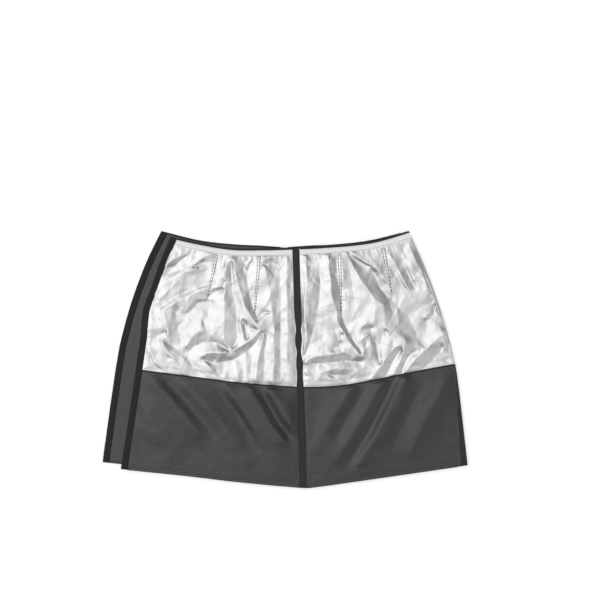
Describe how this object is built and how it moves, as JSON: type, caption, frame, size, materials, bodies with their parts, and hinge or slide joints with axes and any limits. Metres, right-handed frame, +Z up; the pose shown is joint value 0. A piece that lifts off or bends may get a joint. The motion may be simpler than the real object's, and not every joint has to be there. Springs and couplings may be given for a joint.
{
  "type": "softbox light-control skirt",
  "caption": "Black light-control skirt with a silver lining and a hook-and-loop closure for a lantern softbox, folded in half at its side and laid flat.",
  "frame": {"origin": "under the middle of the folded skirt, on the surface it lies on", "axes": "+X across the skirt towards the side fold, +Y from the hem to the waist, +Z up through the folded layers"},
  "size_m": [1.272, 0.8961, 0.0152],
  "materials": {
    "silver_cloth": "metallised silver coating, creased, semi-gloss",
    "black_cloth": "plain-woven black nylon, slight sheen",
    "seam_tape": "woven black tape, matte",
    "closure_tape": "black hook-and-loop pile, matte",
    "black_binding": "black bias binding, matte",
    "white_hook_band": "white hook tape, matte"
  },
  "bodies": {
    "back_right": {"back_right_shell": "black_cloth", "back_right_lining": "silver_cloth", "back_right_lining_binding": "black_binding", "back_right_waist_binding": "black_binding", "back_right_hook_band": "white_hook_band", "back_right_hem": "black_binding", "back_right_dart_1": "silver_cloth", "back_right_dart_2": "silver_cloth", "back_seam_tape_right": "seam_tape", "side_seam_tape_back": "seam_tape", "side_seam_tape_front": "seam_tape", "side_fold_shell": "black_cloth", "side_fold_lining": "silver_cloth", "side_fold_lining_binding": "black_binding", "side_fold_waist_binding": "black_binding", "side_fold_hook_band": "white_hook_band"},
    "back_left": {"back_left_shell": "black_cloth", "back_left_lining": "silver_cloth", "back_left_lining_binding": "black_binding", "back_left_waist_binding": "black_binding", "back_left_hook_band": "white_hook_band", "back_left_hem": "black_binding", "back_left_dart_1": "silver_cloth", "back_left_dart_2": "silver_cloth", "back_seam_tape_left": "seam_tape", "back_closure_tape": "closure_tape"},
    "front_right": {"front_right_shell": "black_cloth", "front_right_lining": "silver_cloth", "front_right_lining_binding": "black_binding", "front_right_waist_binding": "black_binding", "front_right_hook_band": "white_hook_band", "front_right_hem": "black_binding", "front_right_dart_1": "silver_cloth", "front_right_dart_2": "silver_cloth", "front_seam_tape_right": "seam_tape"},
    "front_left": {"front_left_shell": "black_cloth", "front_left_lining": "silver_cloth", "front_left_lining_binding": "black_binding", "front_left_waist_binding": "black_binding", "front_left_hook_band": "white_hook_band", "front_left_hem": "black_binding", "front_left_dart_1": "silver_cloth", "front_left_dart_2": "silver_cloth", "front_seam_tape_left": "seam_tape", "front_closure_tape": "closure_tape"}
  },
  "joints": [
    {"name": "side_fold", "type": "hinge", "parent": "back_right", "child": "front_right", "pos_m": [0.604, -0.374, 0.0154], "axis": [-0.2235, 0.9747, 0], "range_deg": [0, 120]},
    {"name": "front_seam", "type": "hinge", "parent": "front_right", "child": "front_left", "pos_m": [0.066, -0.448, 0.0154], "axis": [-0.031, 0.9995, 0], "range_deg": [0, 90]},
    {"name": "back_seam", "type": "hinge", "parent": "back_right", "child": "back_left", "pos_m": [0, -0.425, -0.0002], "axis": [0, 1, 0], "range_deg": [-90, 0]}
  ]
}
